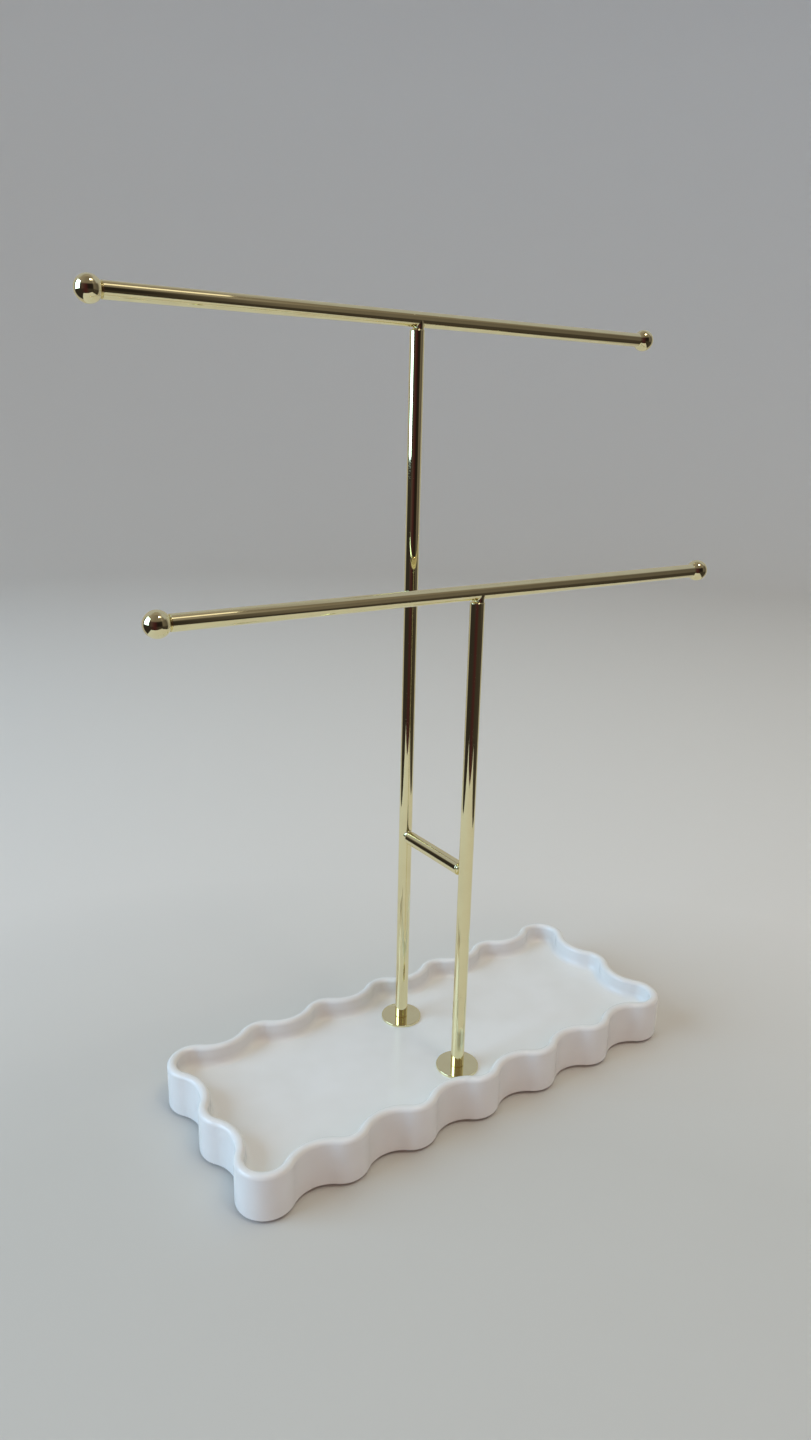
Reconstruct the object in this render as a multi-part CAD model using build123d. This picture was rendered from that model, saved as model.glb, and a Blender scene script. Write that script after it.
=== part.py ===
from build123d import *
import math
import os

# Jewellery stand: two T-shaped rod holders of different height on a scalloped ceramic dish.
# Millimetres. The origin is under the middle of the dish, on the surface it stands on.
# +X runs along the bars, +Y points to the rear (taller) holder and +Z is up.

# Scalloped outline of the dish
lobe_pitch = 28.5  # from one scallop to the next
lobes_long = 7  # scallops along a long side, corners counted
lobes_short = 3  # scallops along a short side, corners counted
lobe_radius = 10.2  # outer round of a scallop
valley_radius = 13.0  # outer round of the hollow between two scallops

# Section of the dish
wall = 3.5
dish_depth = 7.5  # from the floor up to the rim
floor_thickness = 5.1  # over the screw pockets
rim_round = 1.55  # both edges of the rim
floor_round = 2.6  # where the wall meets the floor
foot_round = 1.0  # lower outer edge

# Rod frame
rod_diameter = 5.0  # posts, bars and strut are cut from one rod
rear_bar_rise = 265.9  # axis of the rear bar above the dish's floor
front_bar_rise = 181.3
strut_rise = 81.1
bar_length = 209.0  # between the bar's end faces
post_end_round = 0.15  # edge of a post's welded top
strut_end_round = 0.35  # edges of the strut's welded ends
bar_chamfer = 0.25
post_chamfer = 0.25  # edge of a post's foot, which shows as a fine dark seam

# Weld between a rod's end and the side of the rod it meets
weld_gap = 0.65  # least distance from the end face to the other rod
weld_waist = 0.2  # how far the middle draws in from the end face's edge
weld_spread = 0.7  # how far it runs out along the other rod where the two come closest
weld_tip_spread = 2.1  # the same where it ends, half-way up the other rod's flank
weld_tuck = 0.1  # how far that end stays inside the other rod's side
weld_lean = 0.4  # how far it is drawn to one side along the other rod

# Ball ends
ball_diameter = 7.8
neck_diameter = 4.2
neck_length = 0.15
spigot_diameter = 3.0
spigot_length = 6.0
spigot_clearance = 0.03  # radial, in the bar's end bore
spigot_chamfer = 0.3
bore_spare = 0.5  # depth of bore past the spigot's tip

# Flange discs under the posts
flange_diameter = 16.0
flange_thickness = 0.8
flange_edge = 0.15
flange_wall_gap = 5.7  # clear floor between a flange and the foot of the wall behind it

# Screws from below
screw_diameter = 3.0
screw_reach = 8.0  # length inside the post
tap_spare = 2.0  # depth of tapped hole past the screw's tip
thread_clearance = 0.05  # radial, plain bore for the tapped hole
screw_clearance = 0.15  # radial, in flange and washer
dish_clearance = 0.5  # radial, in the ceramic
head_diameter = 5.6
head_height = 2.2
head_round = 0.8
head_cover = 2.0  # how far the screw head stays up inside its pocket
washer_diameter = 9.0
washer_thickness = 0.8
pocket_clearance = 0.6  # radial, round the washer
pocket_chamfer = 0.5

# Pads under the corner scallops
pad_diameter = 10.0
pad_thickness = 0.8
pad_chamfer = 0.2

# Limits
round_share = 0.9  # most of the room beside it that a rounded edge may take
same_height = 1e-4

# Worked out from the sizes above
rod_radius = rod_diameter / 2
pocket_depth = washer_thickness + head_height + head_cover
dish_bottom = pad_thickness
pocket_roof = dish_bottom + pocket_depth
floor_top = pocket_roof + floor_thickness
rim_top = floor_top + dish_depth
flange_top = floor_top + flange_thickness
lobe_line_x = lobe_pitch * (lobes_long - 1) / 2
lobe_line_y = lobe_pitch * (lobes_short - 1) / 2
lobe_to_valley = lobe_radius + valley_radius
valley_offset = math.sqrt(lobe_to_valley**2 - (lobe_pitch / 2) ** 2)
valley_angle = math.degrees(math.asin(lobe_pitch / 2 / lobe_to_valley))
floor_round_used = min(floor_round, round_share * (lobe_radius - wall))
rim_round_used = min(rim_round, round_share * wall / 2)
post_y = lobe_line_y + lobe_radius - wall - floor_round_used - flange_wall_gap - flange_diameter / 2
rear_bar_z = floor_top + rear_bar_rise
front_bar_z = floor_top + front_bar_rise
strut_z = floor_top + strut_rise
strut_half = post_y - rod_radius - weld_gap
ball_centre = neck_length + math.sqrt((ball_diameter / 2) ** 2 - (neck_diameter / 2) ** 2)

FROM_BASE = (Align.CENTER, Align.CENTER, Align.MIN)


def rod(radius, length):
    """Round bar standing on the origin along +Z."""
    return Cylinder(radius, length, align=FROM_BASE)


def at_height(part, height):
    """Round edges of a part that lie at one height."""
    return part.edges().filter_by(lambda edge: abs(edge.center().Z - height) < same_height)


def scallop_sides():
    """Start of each stretch from one scallop to the next, with its heading, once round the dish."""
    front = [(-lobe_line_x + i * lobe_pitch, -lobe_line_y, 0) for i in range(lobes_long - 1)]
    right = [(lobe_line_x, -lobe_line_y + i * lobe_pitch, 90) for i in range(lobes_short - 1)]
    back = [(-x, -y, 180) for x, y, _ in front]
    left = [(-x, -y, 270) for x, y, _ in right]
    return front + right + back + left


def scallop_face(inset):
    """Scalloped outline drawn in from the outer edge by inset: tangent arcs, scallop and hollow in turn."""
    sides = scallop_sides()
    arcs = []
    for before, (x, y, heading) in zip(sides[-1:] + sides[:-1], sides):
        outward = heading - 90
        turn = (heading - before[2]) % 360
        start = outward - turn - valley_angle
        arcs.append(CenterArc((x, y), lobe_radius - inset, start, turn + 2 * valley_angle))
        along = Vector(lobe_pitch / 2, 0).rotate(Axis.Z, heading)
        out = Vector(valley_offset, 0).rotate(Axis.Z, outward)
        hollow = Vector(x, y) + along + out
        first = outward + 180 + valley_angle
        arcs.append(CenterArc(hollow, valley_radius + inset, first, -2 * valley_angle))
    return make_face(arcs)


def make_tray():
    """Dish with a scalloped wall, rounded rim and flat floor, and a pocket below for each screw head."""
    height = rim_top - dish_bottom
    body = extrude(Pos(0, 0, dish_bottom) * scallop_face(0), height)
    body -= extrude(Pos(0, 0, floor_top) * scallop_face(wall), dish_depth)
    floor_face = body.faces().filter_by(lambda face: abs(face.center().Z - floor_top) < same_height)[0]
    body = fillet(floor_face.edges(), floor_round_used)
    rim_face = body.faces().sort_by(Axis.Z)[-1]
    body = fillet(rim_face.edges(), rim_round_used)
    body = fillet(body.faces().sort_by(Axis.Z)[0].edges(), foot_round)
    hole = rod(screw_diameter / 2 + dish_clearance, floor_thickness)
    pocket = rod(washer_diameter / 2 + pocket_clearance, pocket_depth)
    for side in (-1, 1):
        body -= Pos(0, side * post_y, pocket_roof) * hole
        body -= Pos(0, side * post_y, dish_bottom) * pocket
    mouths = body.faces().sort_by(Axis.Z)[0].inner_wires()
    return chamfer([edge for mouth in mouths for edge in mouth.edges()], pocket_chamfer)


def make_post(y, bar_z):
    """Upright rod with a tapped foot, its rounded top ending just under the bar."""
    top = bar_z - rod_radius - weld_gap
    post = rod(rod_radius, top - flange_top)
    post = fillet(at_height(post, top - flange_top), post_end_round)
    post = chamfer(at_height(post, 0), post_chamfer)
    post -= rod(screw_diameter / 2 + thread_clearance, screw_reach + tap_spare)
    return Pos(0, y, flange_top) * post


def make_bar(y, bar_z):
    """Horizontal rod with a blind bore in each end for the ball's spigot."""
    bar = Pos(0, 0, -bar_length / 2) * rod(rod_radius, bar_length)
    bar = chamfer(at_height(bar, bar_length / 2) + at_height(bar, -bar_length / 2), bar_chamfer)
    depth = spigot_length + bore_spare
    bore = rod(spigot_diameter / 2 + spigot_clearance, depth)
    bar -= Pos(0, 0, -bar_length / 2) * bore
    bar -= Pos(0, 0, bar_length / 2 - depth) * bore
    return Pos(0, y, bar_z) * Rot(0, 90, 0) * bar


def make_strut():
    """Short rod between the posts with rounded ends."""
    strut = Pos(0, 0, -strut_half) * rod(rod_radius, 2 * strut_half)
    strut = fillet(at_height(strut, strut_half) + at_height(strut, -strut_half), strut_end_round)
    return Pos(0, 0, strut_z) * Rot(90, 0, 0) * strut


def make_weld(end_round):
    """Waisted weld on a rounded rod end at the origin, flaring on to a rod that crosses above it along X."""
    end_radius = rod_radius - end_round
    half_rod = rod_radius / 2
    flank = math.sqrt(rod_radius**2 - half_rod**2) - weld_tuck
    foot = Circle(end_radius)
    waist = Pos(weld_lean, 0, weld_gap / 2) * Circle(end_radius - weld_waist)
    flare = Pos(weld_lean, 0, weld_gap) * Ellipse(end_radius + weld_spread, end_radius - weld_waist / 2)
    tip = Pos(weld_lean, 0, weld_gap + half_rod) * Ellipse(end_radius + weld_tip_spread, flank)
    weld = loft([foot, waist, flare, tip])
    reach = rod_diameter + weld_tip_spread + weld_lean
    crossing = Cylinder(rod_radius, 2 * reach, rotation=(0, 90, 0))
    return weld - Pos(0, 0, weld_gap + rod_radius) * crossing


def make_ball():
    """Ball on a narrow neck, with the spigot that fits the bar's bore, along +Z from the bar's end face."""
    spigot = spigot_diameter / 2
    neck = neck_diameter / 2
    shank = Polyline(
        (0, ball_centre + ball_diameter / 2),
        (0, -spigot_length),
        (spigot - spigot_chamfer, -spigot_length),
        (spigot, spigot_chamfer - spigot_length),
        (spigot, 0),
        (neck, 0),
        (neck, neck_length),
    )
    start = math.degrees(math.atan2(neck_length - ball_centre, neck))
    bulb = CenterArc((0, ball_centre), ball_diameter / 2, start, 90 - start)
    profile = Plane.XZ * make_face(shank.edges() + bulb.edges())
    return revolve(profile, Axis.Z)


def make_flange():
    """Thin disc between dish and post with a hole for the screw."""
    disc = rod(flange_diameter / 2, flange_thickness)
    disc = fillet(at_height(disc, flange_thickness), flange_edge)
    return disc - rod(screw_diameter / 2 + screw_clearance, flange_thickness)


def make_washer():
    """Flat ring under the screw head."""
    hole = rod(screw_diameter / 2 + screw_clearance, washer_thickness)
    return rod(washer_diameter / 2, washer_thickness) - hole


def make_screw():
    """Pan-head screw, head down, with the head's upper face on the origin's plane."""
    head = Pos(0, 0, -head_height) * rod(head_diameter / 2, head_height)
    head = fillet(at_height(head, -head_height), head_round)
    shank = washer_thickness + floor_thickness + flange_thickness + screw_reach
    return head + rod(screw_diameter / 2, shank)


def make_pad():
    """Round pad with a bevelled lower edge."""
    pad = rod(pad_diameter / 2, pad_thickness)
    return chamfer(at_height(pad, 0), pad_chamfer)


def assemble():
    """Every piece in its place, by name."""
    parts = {"tray": make_tray()}
    tee_weld = make_weld(post_end_round)
    strut_weld = make_weld(strut_end_round)
    ball = make_ball()
    washer_z = pocket_roof - washer_thickness
    for end, y, bar_z in (("rear", post_y, rear_bar_z), ("front", -post_y, front_bar_z)):
        parts[f"{end}_post"] = make_post(y, bar_z)
        parts[f"{end}_bar"] = make_bar(y, bar_z)
        parts[f"{end}_tee_weld"] = Pos(0, y, bar_z - rod_radius - weld_gap) * tee_weld
        parts[f"{end}_flange"] = Pos(0, y, floor_top) * make_flange()
        parts[f"{end}_washer"] = Pos(0, y, washer_z) * make_washer()
        parts[f"{end}_screw"] = Pos(0, y, washer_z) * make_screw()
        for side, sign in (("left", -1), ("right", 1)):
            bar_end = Pos(sign * bar_length / 2, y, bar_z)
            parts[f"{end}_{side}_ball"] = bar_end * Rot(0, sign * 90, 0) * ball
            pad_place = Pos(sign * lobe_line_x, math.copysign(lobe_line_y, y), 0)
            parts[f"{end}_{side}_pad"] = pad_place * make_pad()
        toward = math.copysign(1, y)
        strut_end = Plane(origin=(0, toward * strut_half, strut_z), x_dir=(0, 0, 1), z_dir=(0, toward, 0))
        parts[f"strut_{end}_weld"] = strut_end.location * strut_weld
    parts["cross_strut"] = make_strut()
    return parts


os.makedirs("parts", exist_ok=True)
for name, shape in assemble().items():
    export_step(shape, f"parts/{name}.step")
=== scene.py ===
"""A jewellery stand dressed for its picture: two plated T-bars, their tie and a scalloped glazed dish.

Lengths are in metres. +Z is up, X runs along the dish's long side and -Y is the front. Where a piece
stands and how long it is comes from the frame; the rest of its sizes are fields of the class that makes it.
"""

from __future__ import annotations

import functools
import logging
import math
from abc import ABC, abstractmethod
from collections.abc import Callable
from dataclasses import dataclass
from enum import Enum
from typing import Any

import bmesh
import bpy
from bpy.types import Light, Material, Node, NodeSocket, Object
from mathutils import Matrix, Vector

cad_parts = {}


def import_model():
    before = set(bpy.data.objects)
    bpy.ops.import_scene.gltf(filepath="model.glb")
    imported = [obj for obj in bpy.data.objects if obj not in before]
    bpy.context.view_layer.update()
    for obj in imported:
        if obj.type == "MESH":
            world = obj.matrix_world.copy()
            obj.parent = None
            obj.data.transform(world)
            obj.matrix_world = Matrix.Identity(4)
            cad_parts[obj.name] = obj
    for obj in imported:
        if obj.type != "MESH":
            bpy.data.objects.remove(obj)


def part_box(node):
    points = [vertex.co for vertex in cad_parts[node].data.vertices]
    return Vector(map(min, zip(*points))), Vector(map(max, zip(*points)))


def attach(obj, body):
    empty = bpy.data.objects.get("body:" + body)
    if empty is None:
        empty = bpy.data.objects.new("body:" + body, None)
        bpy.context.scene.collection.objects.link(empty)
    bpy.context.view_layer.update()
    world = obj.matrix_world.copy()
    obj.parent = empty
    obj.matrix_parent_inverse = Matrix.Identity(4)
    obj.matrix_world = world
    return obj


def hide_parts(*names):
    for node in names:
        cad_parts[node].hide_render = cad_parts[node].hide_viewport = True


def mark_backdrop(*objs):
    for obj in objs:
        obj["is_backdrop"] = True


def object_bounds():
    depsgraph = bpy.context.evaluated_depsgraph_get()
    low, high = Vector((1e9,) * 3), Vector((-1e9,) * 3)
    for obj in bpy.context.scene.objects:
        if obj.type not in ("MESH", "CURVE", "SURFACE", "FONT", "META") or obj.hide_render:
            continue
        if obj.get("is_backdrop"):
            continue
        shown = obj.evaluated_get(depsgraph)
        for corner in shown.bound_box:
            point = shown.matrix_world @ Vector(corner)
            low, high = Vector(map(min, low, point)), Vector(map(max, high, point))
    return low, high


LOG = logging.getLogger("jewellery_stand")
BODY = "root"

MM = 0.001
QUARTER = 90.0
FULL_TURN = 2 * math.pi
MERGE_DISTANCE = 0.001 * MM
SMOOTH_ANGLE = math.radians(35)
ROD_SIDES = 96
ARC_STEPS = 8
PATTERN_SPAN = (0.3, 0.7)  # nearly all values of a noise pattern lie in here

Colour = tuple[float, float, float]
Point = tuple[float, float, float]
Pair = tuple[float, float]
Span = tuple[float, float]


class Slot(Enum):
    """Material slots, one for each finish."""

    GLAZE = "glaze"
    GOLD = "gold_plate"
    ZINC = "zinc_steel"
    RUBBER = "pad_rubber"


class Grain(Enum):
    """Which way the polishing lines of a plated piece run."""

    ALONG_X = "x"
    ALONG_Y = "y"
    ALONG_Z = "z"
    EVEN = "even"


class End(Enum):
    """The two holders."""

    FRONT = "front"
    REAR = "rear"


class Side(Enum):
    """The two ends of a bar, by the sign of X."""

    LEFT = -1
    RIGHT = 1

    @property
    def word(self) -> str:
        """The side as it stands in a piece's name."""
        return self.name.lower()


def polar(length: float, degrees: float) -> Vector:
    """A vector in the XY plane by its length and its angle from +X."""
    return Vector((length * math.cos(math.radians(degrees)), length * math.sin(math.radians(degrees)), 0.0))


def middle(node: str) -> Vector:
    """Centre of a CAD node's box."""
    low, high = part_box(node)
    return (low + high) / 2


def standing(node: str, height: float) -> Matrix:
    """The move from the origin to a CAD node's upright axis, at a height."""
    spot = middle(node)
    return Matrix.Translation((spot.x, spot.y, height))


class Bench:
    """Hand tools that every piece is made with: starting, selecting, closing, placing and copying."""

    @staticmethod
    def clear() -> None:
        """Leave edit mode and deselect everything."""
        if bpy.context.object and bpy.context.object.mode == "EDIT":
            bpy.ops.object.mode_set(mode="OBJECT")
        bpy.ops.object.select_all(action="DESELECT")

    @staticmethod
    def choose(piece: Object) -> None:
        """Make one piece the only selected and the active one.

        Args:
            piece: The object.
        """
        Bench.clear()
        piece.select_set(True)
        bpy.context.view_layer.objects.active = piece

    @staticmethod
    def new_point(name: str, place: Vector) -> Object:
        """Start a piece as one selected vertex, open in edit mode.

        Args:
            name: Name of the piece.
            place: Where the vertex lies.

        Returns:
            The new object, at the origin.
        """
        Bench.clear()
        bpy.ops.mesh.primitive_plane_add(size=MM)
        piece = bpy.context.object
        piece.name = piece.data.name = name
        bpy.ops.object.mode_set(mode="EDIT")
        bpy.ops.mesh.merge(type="CENTER")
        bpy.ops.transform.translate(value=place)
        return piece

    @staticmethod
    def sweep(centre: Vector, axis: Vector, degrees: float, steps: int) -> None:
        """Spin what is selected by the right-hand rule, which the operator turns round.

        Args:
            centre: A point on the axis.
            axis: Direction of the axis.
            degrees: Angle of the sweep.
            steps: Number of edges that the sweep leaves.
        """
        bpy.ops.mesh.spin(steps=steps, angle=-math.radians(degrees), center=centre, axis=axis)

    @staticmethod
    def pick_edges(piece: Object, rule: Callable[[bmesh.types.BMEdge], bool]) -> None:
        """Select only the edges that a rule takes.

        Args:
            piece: The object open in edit mode.
            rule: Says whether an edge is taken.
        """
        bpy.ops.mesh.select_mode(type="EDGE")
        bpy.ops.mesh.select_all(action="DESELECT")
        mesh = bmesh.from_edit_mesh(piece.data)
        for edge in mesh.edges:
            edge.select_set(rule(edge))
        bmesh.update_edit_mesh(piece.data)

    @staticmethod
    def close(piece: Object) -> Object:
        """Merge doubled vertices, turn the faces outwards and leave edit mode.

        Args:
            piece: The object open in edit mode.

        Returns:
            The same object.
        """
        bpy.ops.mesh.select_mode(type="VERT")
        bpy.ops.mesh.select_all(action="SELECT")
        bpy.ops.mesh.remove_doubles(threshold=MERGE_DISTANCE)
        bpy.ops.mesh.normals_make_consistent(inside=False)
        bpy.ops.object.mode_set(mode="OBJECT")
        return piece

    @staticmethod
    def cut(piece: Object, tool: Object) -> None:
        """Take a tool's volume out of a piece; the tool goes.

        Args:
            piece: The object that is cut.
            tool: A closed mesh.
        """
        Bench.choose(piece)
        cutting = piece.modifiers.new("cut", "BOOLEAN")
        cutting.operation = "DIFFERENCE"
        cutting.object = tool
        bpy.ops.object.modifier_apply(modifier=cutting.name)
        bpy.data.objects.remove(tool)

    @staticmethod
    def smooth(piece: Object) -> None:
        """Shade a piece smooth up to its corners, with its flats held flat.

        Args:
            piece: The object, out of edit mode.
        """
        Bench.choose(piece)
        bpy.ops.object.shade_smooth_by_angle(angle=SMOOTH_ANGLE)
        weighting = piece.modifiers.new("flats", "WEIGHTED_NORMAL")
        weighting.keep_sharp = True
        bpy.ops.object.modifier_apply(modifier=weighting.name)

    @staticmethod
    def place(piece: Object, matrix: Matrix) -> Object:
        """Move a piece, with its new place in its mesh.

        Args:
            piece: The object at the origin.
            matrix: The move.

        Returns:
            The same object, still at the origin.
        """
        Bench.choose(piece)
        piece.matrix_world = matrix
        bpy.ops.object.transform_apply(location=True, rotation=True, scale=True)
        return piece

    @staticmethod
    def copy(master: Object, name: str, matrix: Matrix) -> Object:
        """Copy a piece with its own mesh and put the copy in its place.

        Args:
            master: The object to copy, at the origin.
            name: Name of the copy.
            matrix: The copy's place.

        Returns:
            The copy, at the origin.
        """
        Bench.choose(master)
        bpy.ops.object.duplicate(linked=False)
        twin = bpy.context.object
        twin.name = twin.data.name = name
        return Bench.place(twin, matrix)

    @staticmethod
    def dress(piece: Object, finish: Finish, node: str) -> Object:
        """Give a piece its finish and set it on the frame in a CAD node's stead.

        Args:
            piece: The finished mesh object.
            finish: What it is made of.
            node: The CAD node that it stands for.

        Returns:
            The same object.
        """
        Bench.smooth(piece)
        piece.data.materials.clear()
        piece.data.materials.append(material_of(finish))
        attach(piece, BODY)
        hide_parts(node)
        return piece


class Lathe:
    """Half a section, drawn point by point in the XZ plane and then turned about Z."""

    def __init__(self, name: str, radius: float, height: float) -> None:
        """Start the section.

        Args:
            name: Name of the piece.
            radius: Distance of the first point from the axis.
            height: Height of the first point.
        """
        self.first = Vector((radius, 0.0, height))
        self.last = self.first
        self.piece = Bench.new_point(name, self.first)

    def to(self, radius: float, height: float) -> Lathe:
        """Draw a straight line to a point.

        Args:
            radius: Distance of the point from the axis.
            height: Height of the point.

        Returns:
            The lathe, for the next stroke.
        """
        target = Vector((radius, 0.0, height))
        bpy.ops.mesh.extrude_vertices_move(TRANSFORM_OT_translate={"value": target - self.last})
        self.last = target
        return self

    def round(self, radius: float, height: float, degrees: float, steps: int = ARC_STEPS) -> Lathe:
        """Draw an arc about a centre.

        Args:
            radius: Distance of the centre from the axis.
            height: Height of the centre.
            degrees: Angle of the arc, positive from outwards to upwards.
            steps: Number of edges in the arc.

        Returns:
            The lathe, for the next stroke.
        """
        centre = Vector((radius, 0.0, height))
        axis = Vector((0.0, -1.0, 0.0))
        Bench.sweep(centre, axis, degrees, steps)
        self.last = centre + Matrix.Rotation(math.radians(degrees), 3, axis) @ (self.last - centre)
        return self

    def back(self) -> Lathe:
        """Draw a straight line back to the first point."""
        return self.to(self.first.x, self.first.z)

    def turn(self, steps: int = ROD_SIDES) -> Object:
        """Turn the section once round and close the mesh.

        Args:
            steps: Number of sides.

        Returns:
            The finished mesh object, at the origin.
        """
        bpy.ops.mesh.select_all(action="SELECT")
        bpy.ops.mesh.spin(steps=steps, angle=FULL_TURN, center=(0, 0, 0), axis=(0, 0, 1))
        return Bench.close(self.piece)


class NodeSheet:
    """Nodes of a new material, whose shader is linked to the output from the start."""

    def __init__(self, name: str) -> None:
        """Start the material.

        Args:
            name: Name of the material.
        """
        self.material = bpy.data.materials.new(name)
        self.material.use_nodes = True
        self.nodes = self.material.node_tree.nodes
        self.links = self.material.node_tree.links
        self.shader = next(node for node in self.nodes if node.type == "BSDF_PRINCIPLED")
        self.place = self.nodes.new("ShaderNodeTexCoord").outputs["Object"]

    def set(self, **constants: Any) -> None:
        """Set sockets of the shader that are the same all over, by name with _ for a space."""
        for name, value in constants.items():
            self.shader.inputs[name.replace("_", " ").title().replace("Ior", "IOR")].default_value = value

    def node(self, kind: str, where: NodeSocket | None = None, **inputs: float) -> Node:
        """Add a node.

        Args:
            kind: The node's type.
            where: What feeds its Vector socket.
            inputs: Values for its other sockets, by name.

        Returns:
            The node.
        """
        node = self.nodes.new(kind)
        if where is not None:
            self.links.new(where, node.inputs["Vector"])
        for name, value in inputs.items():
            node.inputs[name].default_value = value
        return node

    def stretched(self, squeeze: Vector) -> NodeSocket:
        """Object coordinates, scaled so that a pattern draws out along an axis whose scale is low."""
        return self.node("ShaderNodeMapping", self.place, Scale=squeeze).outputs["Vector"]

    def shifted(self, move: Vector) -> NodeSocket:
        """Object coordinates, moved."""
        return self.node("ShaderNodeMapping", self.place, Location=move).outputs["Vector"]

    def noise(self, where: NodeSocket, scale: float, detail: float = 3.0) -> NodeSocket:
        """Soft random pattern from 0 to 1, with scale blotches to a metre."""
        return self.node("ShaderNodeTexNoise", where, Scale=scale, Detail=detail).outputs["Fac"]

    def dents(self, scale: float, share: float) -> NodeSocket:
        """Small round dents, one to a cell: 0 in a dent's middle and 1 outside it.

        Args:
            scale: Number of cells to a metre.
            share: Radius of a dent, as a share of its cell.

        Returns:
            The height.
        """
        cells = self.node("ShaderNodeTexVoronoi", self.place, Scale=scale)
        return self.between(cells.outputs["Distance"], (0.0, share))

    def between(self, value: NodeSocket, span: Span, target: Span = (0.0, 1.0)) -> NodeSocket:
        """Spread a value over a new range and hold it there.

        Args:
            value: The value that comes in.
            span: The range that it comes from.
            target: The range that it goes to.

        Returns:
            The new value.
        """
        spread = self.nodes.new("ShaderNodeMapRange")
        self.links.new(value, spread.inputs["Value"])
        for name, limit in zip(("From Min", "From Max", "To Min", "To Max"), (*span, *target)):
            spread.inputs[name].default_value = limit
        return spread.outputs["Result"]

    def tint(self, pattern: NodeSocket, first: Colour, second: Colour, span: Span = PATTERN_SPAN) -> None:
        """Colour the shader from one tone to another.

        Args:
            pattern: The value that the tone follows.
            first: The tone at the low end.
            second: The tone at the high end.
            span: The low and the high end of the pattern.
        """
        ramp = self.nodes.new("ShaderNodeValToRGB")
        self.links.new(self.between(pattern, span), ramp.inputs["Fac"])
        for element, tone in zip(ramp.color_ramp.elements, (first, second)):
            element.color = (*tone, 1.0)
        self.feed("Base Color", ramp.outputs["Color"])

    def roughen(self, pattern: NodeSocket, limits: Span) -> None:
        """Let the shader's roughness follow a noise pattern between two limits."""
        self.feed("Roughness", self.between(pattern, PATTERN_SPAN, limits))

    def relief(self, height: NodeSocket, depth: float, under: NodeSocket | None = None) -> NodeSocket:
        """Turn a height into a normal.

        Args:
            height: The height, from 0 to 1.
            depth: What 1 stands for, in metres.
            under: A relief that this one lies on.

        Returns:
            The normal.
        """
        bump = self.nodes.new("ShaderNodeBump")
        bump.inputs["Distance"].default_value = depth
        self.links.new(height, bump.inputs["Height"])
        if under is not None:
            self.links.new(under, bump.inputs["Normal"])
        return bump.outputs["Normal"]

    def feed(self, socket: str, source: NodeSocket) -> None:
        """Link a source to a socket of the shader."""
        self.links.new(source, self.shader.inputs[socket])


class Finish(ABC):
    """What a piece is made of and how it looks."""

    slot: Slot

    @abstractmethod
    def material(self) -> Material:
        """Make the material."""


@functools.cache
def material_of(finish: Finish) -> Material:
    """The material of a finish, made once."""
    return finish.material()


@dataclass(frozen=True)
class GoldPlate(Finish):
    """Pale gold plate with fine polishing lines, faint waves from the rod below and a few small pits."""

    grain: Grain
    tone: Colour = (0.885, 0.805, 0.485)
    worn_tone: Colour = (0.855, 0.765, 0.455)
    roughness: Span = (0.03, 0.06)
    cloud_scale: float = 140.0
    cloud_span: Span = (0.35, 0.65)
    line_scale: float = 2600.0
    line_depth: float = 0.0006 * MM
    line_squeeze: float = 0.03
    wave_scale: float = 160.0
    wave_depth: float = 0.008 * MM
    pit_scale: float = 170.0
    pit_share: float = 0.035
    pit_depth: float = 0.05 * MM
    slot = Slot.GOLD

    def lay(self) -> Vector:
        """Squeeze that draws a pattern out along the polishing lines."""
        axes = (Grain.ALONG_X, Grain.ALONG_Y, Grain.ALONG_Z)
        return Vector([self.line_squeeze if axis is self.grain else 1.0 for axis in axes])

    def material(self) -> Material:
        """Make the material.

        Returns:
            Polished plate whose gloss and tone follow its polishing lines.
        """
        sheet = NodeSheet(f"gold_plate_{self.grain.value}")
        drawn = sheet.stretched(self.lay())
        lines = sheet.noise(drawn, self.line_scale, detail=2.0)
        waves = sheet.noise(drawn, self.wave_scale, detail=1.0)
        clouds = sheet.noise(sheet.place, self.cloud_scale)
        pits = sheet.dents(self.pit_scale, self.pit_share)
        sheet.set(metallic=1.0, specular_ior_level=0.5)
        sheet.tint(clouds, self.worn_tone, self.tone, self.cloud_span)
        sheet.roughen(lines, self.roughness)
        relief = sheet.relief(waves, self.wave_depth)
        relief = sheet.relief(lines, self.line_depth, relief)
        sheet.feed("Normal", sheet.relief(pits, self.pit_depth, relief))
        return sheet.material


@dataclass(frozen=True)
class Glaze(Finish):
    """Satin white glaze that lies in soft waves, a little warmer where it runs thin."""

    tone: Colour = (0.82, 0.82, 0.81)
    thin_tone: Colour = (0.78, 0.775, 0.755)
    roughness: Span = (0.18, 0.26)
    wave_scale: float = 55.0
    wave_depth: float = 0.12 * MM
    peel_scale: float = 420.0
    peel_depth: float = 0.006 * MM
    pin_scale: float = 45.0
    pin_share: float = 0.012
    pin_depth: float = 0.06 * MM
    slot = Slot.GLAZE

    def material(self) -> Material:
        """Make the material.

        Returns:
            White glaze with soft waves, fine orange peel and rare pin-holes.
        """
        sheet = NodeSheet("satin_white_glaze")
        waves = sheet.noise(sheet.place, self.wave_scale, detail=2.0)
        peel = sheet.noise(sheet.place, self.peel_scale, detail=2.0)
        pins = sheet.dents(self.pin_scale, self.pin_share)
        sheet.set(specular_ior_level=0.5)
        sheet.tint(waves, self.thin_tone, self.tone)
        sheet.roughen(peel, self.roughness)
        relief = sheet.relief(waves, self.wave_depth)
        relief = sheet.relief(peel, self.peel_depth, relief)
        sheet.feed("Normal", sheet.relief(pins, self.pin_depth, relief))
        return sheet.material


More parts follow.
